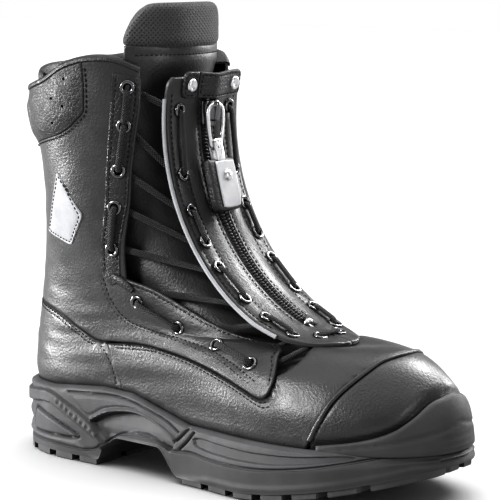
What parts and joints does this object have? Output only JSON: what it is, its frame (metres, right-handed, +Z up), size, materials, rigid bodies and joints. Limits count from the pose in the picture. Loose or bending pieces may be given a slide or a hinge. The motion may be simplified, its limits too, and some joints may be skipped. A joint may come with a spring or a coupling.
{
  "type": "firefighter boot",
  "caption": "Right-foot firefighter's safety boot in black leather, laced, with a zip insert at the front, a lock strap over the slider, a toe guard and a lugged sole.",
  "frame": {"origin": "centre of the boot's box, at the floor", "axes": "+X towards the toe, +Y towards the inner side of the foot, +Z up"},
  "size_m": [0.3012, 0.1239, 0.2712],
  "materials": {
    "black_leather": "smooth full-grain, satin",
    "soft_leather": "soft grained leather, satin",
    "lining_fabric": "woven lining, matt",
    "pad_fabric": "perforated padded textile, matt",
    "foam": "soft foam",
    "rubber": "nitrile rubber, matt",
    "midsole_pu": "moulded polyurethane, fine texture",
    "composite": "fibre composite",
    "reflective": "reflective film, light grey",
    "steel": "polished steel",
    "black_metal": "black lacquered metal, glossy",
    "zip_plastic": "black coil",
    "lace_cord": "braided cord, matt"
  },
  "bodies": {
    "boot": {"outsole": "rubber", "midsole": "midsole_pu", "shank": "steel", "insole_board": "composite", "puncture_plate": "composite", "footbed": "lining_fabric", "quarter_outer": "black_leather", "quarter_inner": "black_leather", "vamp": "black_leather", "toe_leather": "black_leather", "toe_guard": "rubber", "heel_cover": "black_leather", "back_stay": "soft_leather", "collar_binding": "soft_leather", "collar_panel": "soft_leather", "collar_foam": "foam", "quarter_lining": "lining_fabric", "heel_stiffener": "composite", "vamp_lining": "lining_fabric", "safety_toe_cap": "composite", "tongue": "soft_leather", "tongue_pad": "pad_fabric", "eyestay_outer": "soft_leather", "eyestay_inner": "soft_leather", "reflective_patch": "reflective", "insert_outer": "black_leather", "insert_inner": "black_leather", "zip_tape": "lining_fabric", "zip_teeth_outer": "zip_plastic", "zip_teeth_inner": "zip_plastic", "piping_outer": "reflective", "piping_inner": "reflective", "strap_anchor": "soft_leather", "strap_rivet": "steel", "snap_stud": "steel", "lace": "lace_cord", "eyelet_outer_1": "black_metal", "eyelet_outer_2": "black_metal", "eyelet_outer_3": "black_metal", "eyelet_outer_4": "black_metal", "eyelet_outer_5": "black_metal", "eyelet_outer_6": "black_metal", "eyelet_outer_7": "black_metal", "eyelet_outer_8": "black_metal", "eyelet_outer_9": "black_metal", "eyelet_inner_1": "black_metal", "eyelet_inner_2": "black_metal", "eyelet_inner_3": "black_metal", "eyelet_inner_4": "black_metal", "eyelet_inner_5": "black_metal", "eyelet_inner_6": "black_metal", "eyelet_inner_7": "black_metal", "eyelet_inner_8": "black_metal", "eyelet_inner_9": "black_metal"},
    "slider": {"zip_slider": "black_metal"},
    "puller": {"zip_puller": "steel"},
    "tab": {"pull_tab": "soft_leather", "tab_rivet": "steel"},
    "strap": {"lock_strap": "soft_leather", "snap_cap": "steel"}
  },
  "joints": [
    {"name": "zip_slide", "type": "hinge", "parent": "boot", "child": "slider", "pos_m": [0.098, 0, 0.204], "axis": [0, -1, 0], "range_deg": [0, 60]},
    {"name": "puller_flip", "type": "hinge", "parent": "slider", "child": "puller", "pos_m": [-0.01724, 0, 0.21307], "axis": [0, -1, 0], "range_deg": [0, 110]},
    {"name": "tab_flip", "type": "hinge", "parent": "puller", "child": "tab", "pos_m": [-0.01707, 0, 0.18938], "axis": [0, -1, 0], "range_deg": [0, 60]},
    {"name": "strap_open", "type": "hinge", "parent": "boot", "child": "strap", "pos_m": [-0.02017, -0.0116, 0.2225], "axis": [-0.1547, 0, -0.988], "range_deg": [0, 120]}
  ]
}
